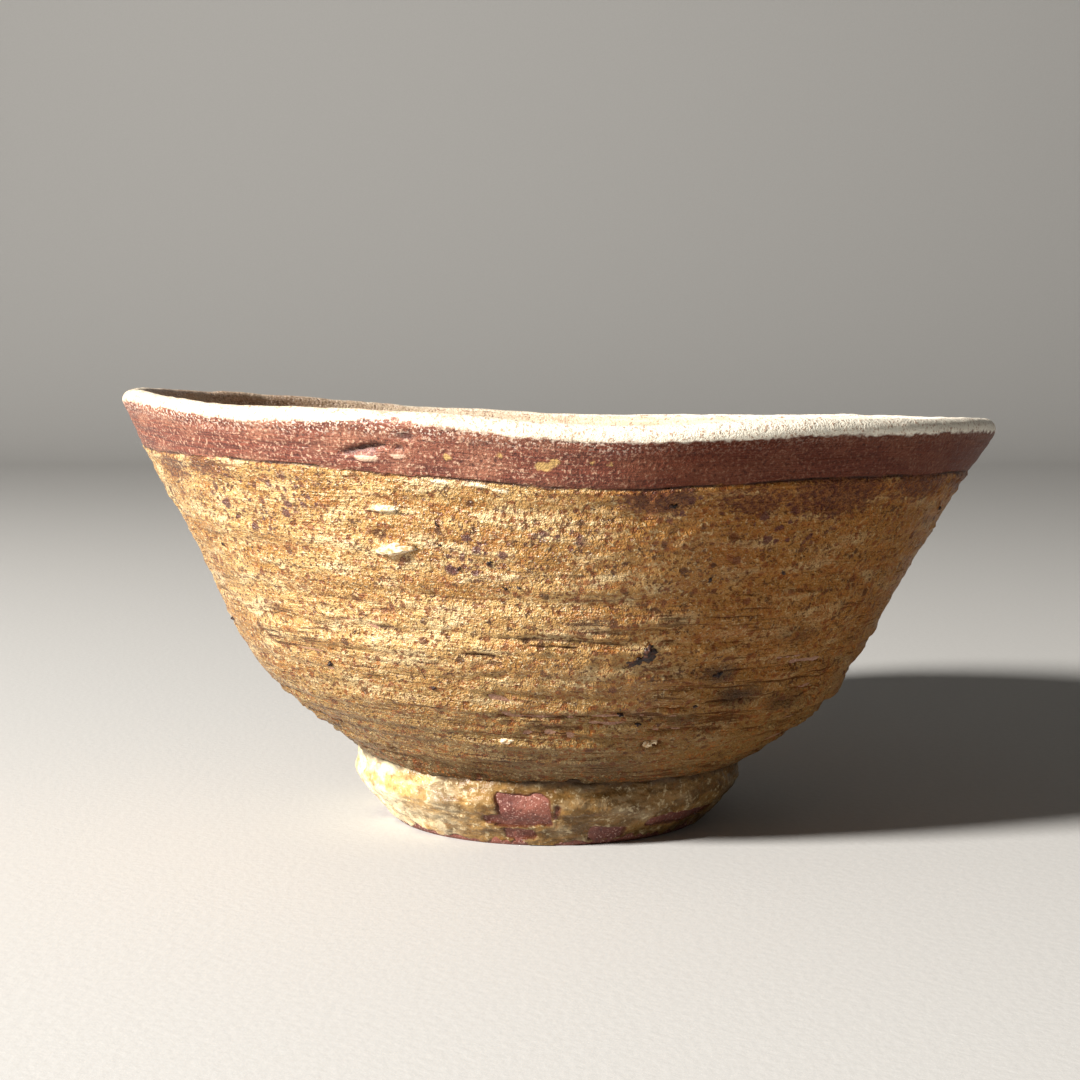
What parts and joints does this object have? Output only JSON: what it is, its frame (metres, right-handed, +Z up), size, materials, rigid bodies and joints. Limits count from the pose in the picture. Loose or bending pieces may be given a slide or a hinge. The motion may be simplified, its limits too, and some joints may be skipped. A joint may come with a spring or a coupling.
{
  "type": "matcha bowl",
  "caption": "Hand-thrown stoneware tea bowl with straight flaring walls on a bevelled foot ring, straw glaze and an iron-brown band round its lip.",
  "frame": {"origin": "on the table, under the middle of the lip; the foot stands 1.4 mm to the left of it because the bowl leans", "axes": "+Z up, -Y towards the front, which is the side with the bare mark on the foot, +X to the right, which is the side the bowl leans to"},
  "size_m": [0.1355, 0.1356, 0.0674],
  "materials": {
    "bowl_clay": "bare fired iron-bearing stoneware, matt and gritty",
    "foot_clay": "bare fired iron-bearing stoneware, matt and gritty",
    "straw_glaze": "satin straw glaze with brown and orange specks and throwing rings",
    "iron_slip": "satin red-brown iron slip with fine brushed lines",
    "pale_glaze": "satin pale cream glaze that breaks over the lip",
    "inner_iron_slip": "thin brown iron slip under pale glaze, washed out to cream over most of its length",
    "inner_glaze": "satin straw glaze, smoother than outside",
    "foot_glaze": "thick satin straw glaze that runs thin along the edges",
    "iron_spot": "glossy black iron spots",
    "stone_grain": "matt feldspar grains under a skin of glaze"
  },
  "bodies": {
    "root": {"bowl_wall": "bowl_clay", "foot_ring": "foot_clay", "outer_glaze": "straw_glaze", "outer_iron_band": "iron_slip", "lip_glaze": "pale_glaze", "inner_iron_band": "inner_iron_slip", "inner_glaze": "inner_glaze", "foot_glaze": "foot_glaze", "iron_spots": "iron_spot", "stone_grains": "stone_grain"}
  },
  "joints": []
}
